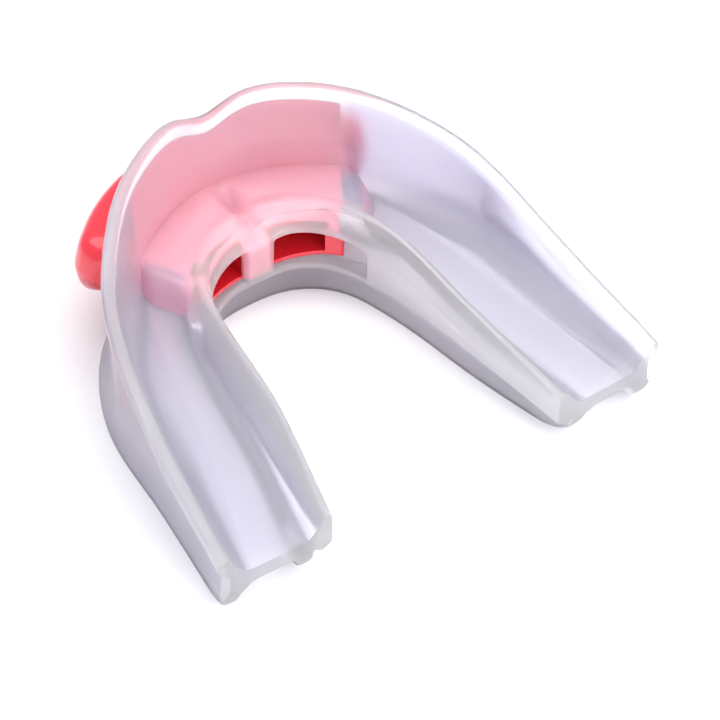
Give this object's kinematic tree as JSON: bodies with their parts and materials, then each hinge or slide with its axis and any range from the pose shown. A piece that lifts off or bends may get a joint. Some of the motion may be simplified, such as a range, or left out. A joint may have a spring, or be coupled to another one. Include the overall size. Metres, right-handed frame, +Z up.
{
  "type": "mouthguard",
  "caption": "Double-sided mouthguard: a clear U-shaped tray with an upper and a lower trough, and a red breathing insert with a lip bumper locked in its front.",
  "frame": {"origin": "on the ground plane under the centre of the object's box, with the guard lying on its lower rims", "axes": "+Z up from the lower rims to the upper rims, -Y towards the lips, +X towards the wearer's left"},
  "size_m": [0.0648, 0.0606, 0.0278],
  "materials": {
    "clear_eva": "frosted, see-through soft EVA with a faint lavender cast",
    "red_rubber": "glossy moulded thermoplastic rubber"
  },
  "bodies": {
    "root": {"clear_tray": "clear_eva", "breathing_insert": "red_rubber"}
  },
  "joints": []
}
